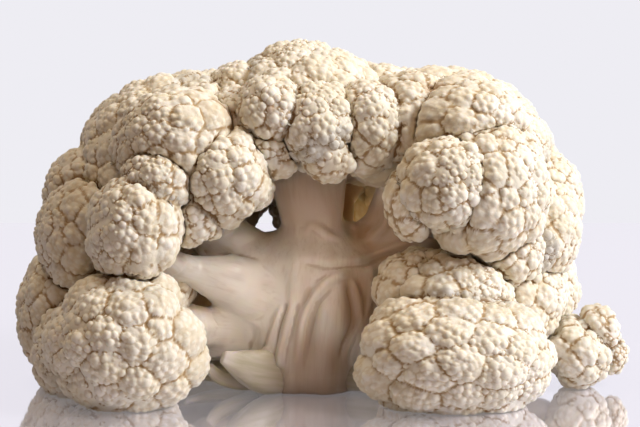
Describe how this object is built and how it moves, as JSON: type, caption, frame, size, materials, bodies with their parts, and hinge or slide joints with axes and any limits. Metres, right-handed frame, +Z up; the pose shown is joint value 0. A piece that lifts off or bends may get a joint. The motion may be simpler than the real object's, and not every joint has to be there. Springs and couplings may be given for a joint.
{
  "type": "cauliflower",
  "caption": "Cauliflower head standing on its cut stalk: branching stem, dome of knobbly cream florets, a hollow at the front where florets were broken out, and leaf stubs at the foot.",
  "frame": {"origin": "middle of the stalk's cut end, on the surface that the head stands on", "axes": "+Z up along the stalk; the open front of the head, with the stalk in view, looks along -Y; +X is to the right seen from the front"},
  "size_m": [0.2171, 0.1491, 0.1212],
  "materials": {
    "curd": "matte granular curd, cream with tan creases",
    "stalk_flesh": "smooth waxy ivory flesh, faint fibres along the stem",
    "leaf_stub": "smooth moist pale green, cut edges"
  },
  "bodies": {
    "root": {"stalk": "stalk_flesh", "floret_crown": "curd", "floret_crown_left_shoulder": "curd", "floret_crown_front": "curd", "floret_crown_right_front": "curd", "floret_right_dome": "curd", "floret_right_front_knob": "curd", "floret_right_front_side": "curd", "floret_right_cheek": "curd", "floret_right_low_side": "curd", "floret_right_low_outer": "curd", "floret_right_low_inner": "curd", "floret_right_low_front": "curd", "floret_sprig": "curd", "floret_left_dome": "curd", "floret_left_inner": "curd", "floret_left_ball": "curd", "floret_left_cheek": "curd", "floret_left_low_front": "curd", "floret_left_low_inner": "curd", "floret_left_low_outer": "curd", "floret_left_floor_corner": "curd", "floret_back_top_left": "curd", "floret_back_top_right": "curd", "floret_back_heart": "curd", "floret_back_inner_left": "curd", "floret_back_side_left": "curd", "floret_back_side_right": "curd", "floret_back_mid_right": "curd", "floret_back_low_left": "curd", "floret_back_floor_left": "curd", "floret_back_floor_right": "curd", "floret_back_floor_middle": "curd", "leaf_stub_front": "leaf_stub", "leaf_stub_curled": "leaf_stub", "leaf_stub_left": "leaf_stub", "leaf_stub_right": "leaf_stub"}
  },
  "joints": []
}
